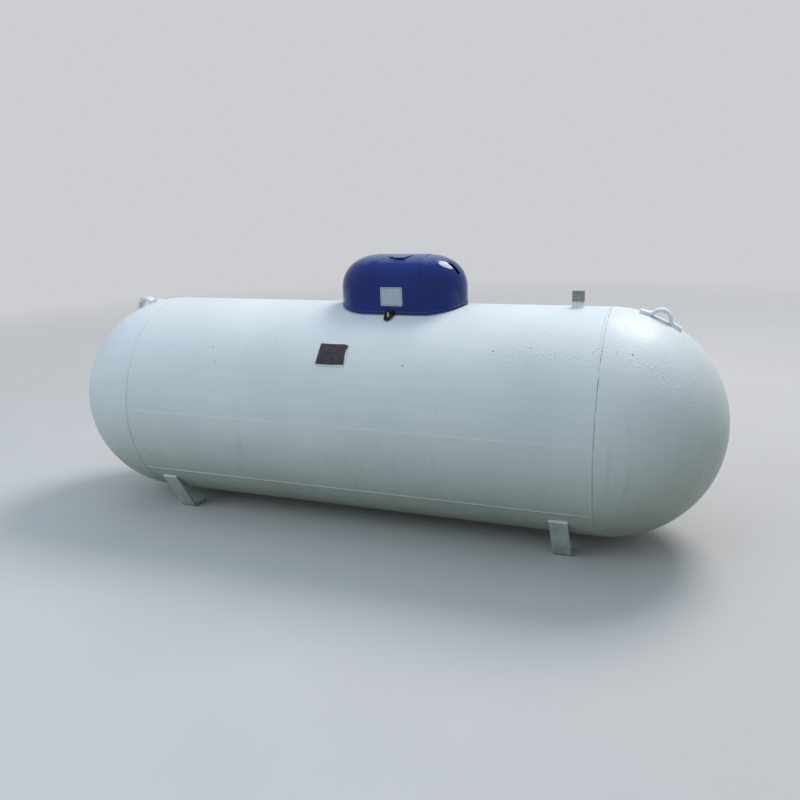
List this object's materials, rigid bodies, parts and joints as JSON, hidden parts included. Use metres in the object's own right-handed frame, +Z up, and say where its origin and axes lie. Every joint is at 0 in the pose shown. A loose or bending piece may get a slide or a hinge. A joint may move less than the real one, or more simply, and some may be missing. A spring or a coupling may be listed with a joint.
{
  "type": "horizontal pressure tank",
  "caption": "Horizontal steel gas storage tank with hemispherical heads, bent strip legs, lifting lugs and a hinged lid over its valves.",
  "frame": {"origin": "middle of the tank's footprint on the ground, under the middle of the barrel", "axes": "+X along the tank, towards the head that lies past the lid; +Z up; -Y is the front, with the data plate and the latch"},
  "size_m": [3.0228, 0.9532, 1.21],
  "materials": {
    "tank_paint": "gloss white enamel",
    "weld": "gloss white enamel over a weld bead",
    "bracket_steel": "dull grey",
    "rusty_plate": "rusted",
    "zinc": "zinc plated",
    "brass": "machined",
    "lid_plastic": "moulded gloss blue",
    "label": "blank sticker",
    "black_plastic": "moulded",
    "yellow_plastic": "moulded",
    "wheel_paint": "enamel",
    "gauge_metal": "die cast",
    "gauge_face": "clear cover over a dial"
  },
  "bodies": {
    "tank": {"shell_barrel": "tank_paint", "left_head": "tank_paint", "right_head": "tank_paint", "left_girth_weld": "weld", "right_girth_weld": "weld", "long_seam_weld": "weld", "front_left_leg": "tank_paint", "front_right_leg": "tank_paint", "rear_left_leg": "tank_paint", "rear_right_leg": "tank_paint", "left_lifting_lug": "tank_paint", "right_lifting_lug": "tank_paint", "top_bracket": "bracket_steel", "plate_holder": "tank_paint", "data_plate": "rusty_plate", "left_hinge_bracket": "tank_paint", "right_hinge_bracket": "tank_paint", "left_hinge_pin": "zinc", "right_hinge_pin": "zinc", "latch_staple": "zinc", "filler_coupling": "tank_paint", "filler_valve": "brass", "filler_cap": "black_plastic", "relief_coupling": "tank_paint", "relief_valve": "brass", "relief_cap": "black_plastic", "vapour_coupling": "tank_paint", "vapour_valve": "brass", "vapour_cap": "yellow_plastic", "liquid_coupling": "tank_paint", "liquid_valve": "brass", "liquid_cap": "brass", "service_coupling": "tank_paint", "service_valve": "brass", "service_handwheel": "wheel_paint", "gauge_coupling": "tank_paint", "gauge_flange": "gauge_metal", "gauge_dial": "gauge_face"},
    "lid": {"lid": "lid_plastic", "lid_label": "label", "latch_tongue": "black_plastic"}
  },
  "joints": [
    {"name": "lid_hinge", "type": "hinge", "parent": "tank", "child": "lid", "pos_m": [0.156, 0.1745, 0.9843], "axis": [-1, 0, 0], "range_deg": [0, 100]}
  ]
}
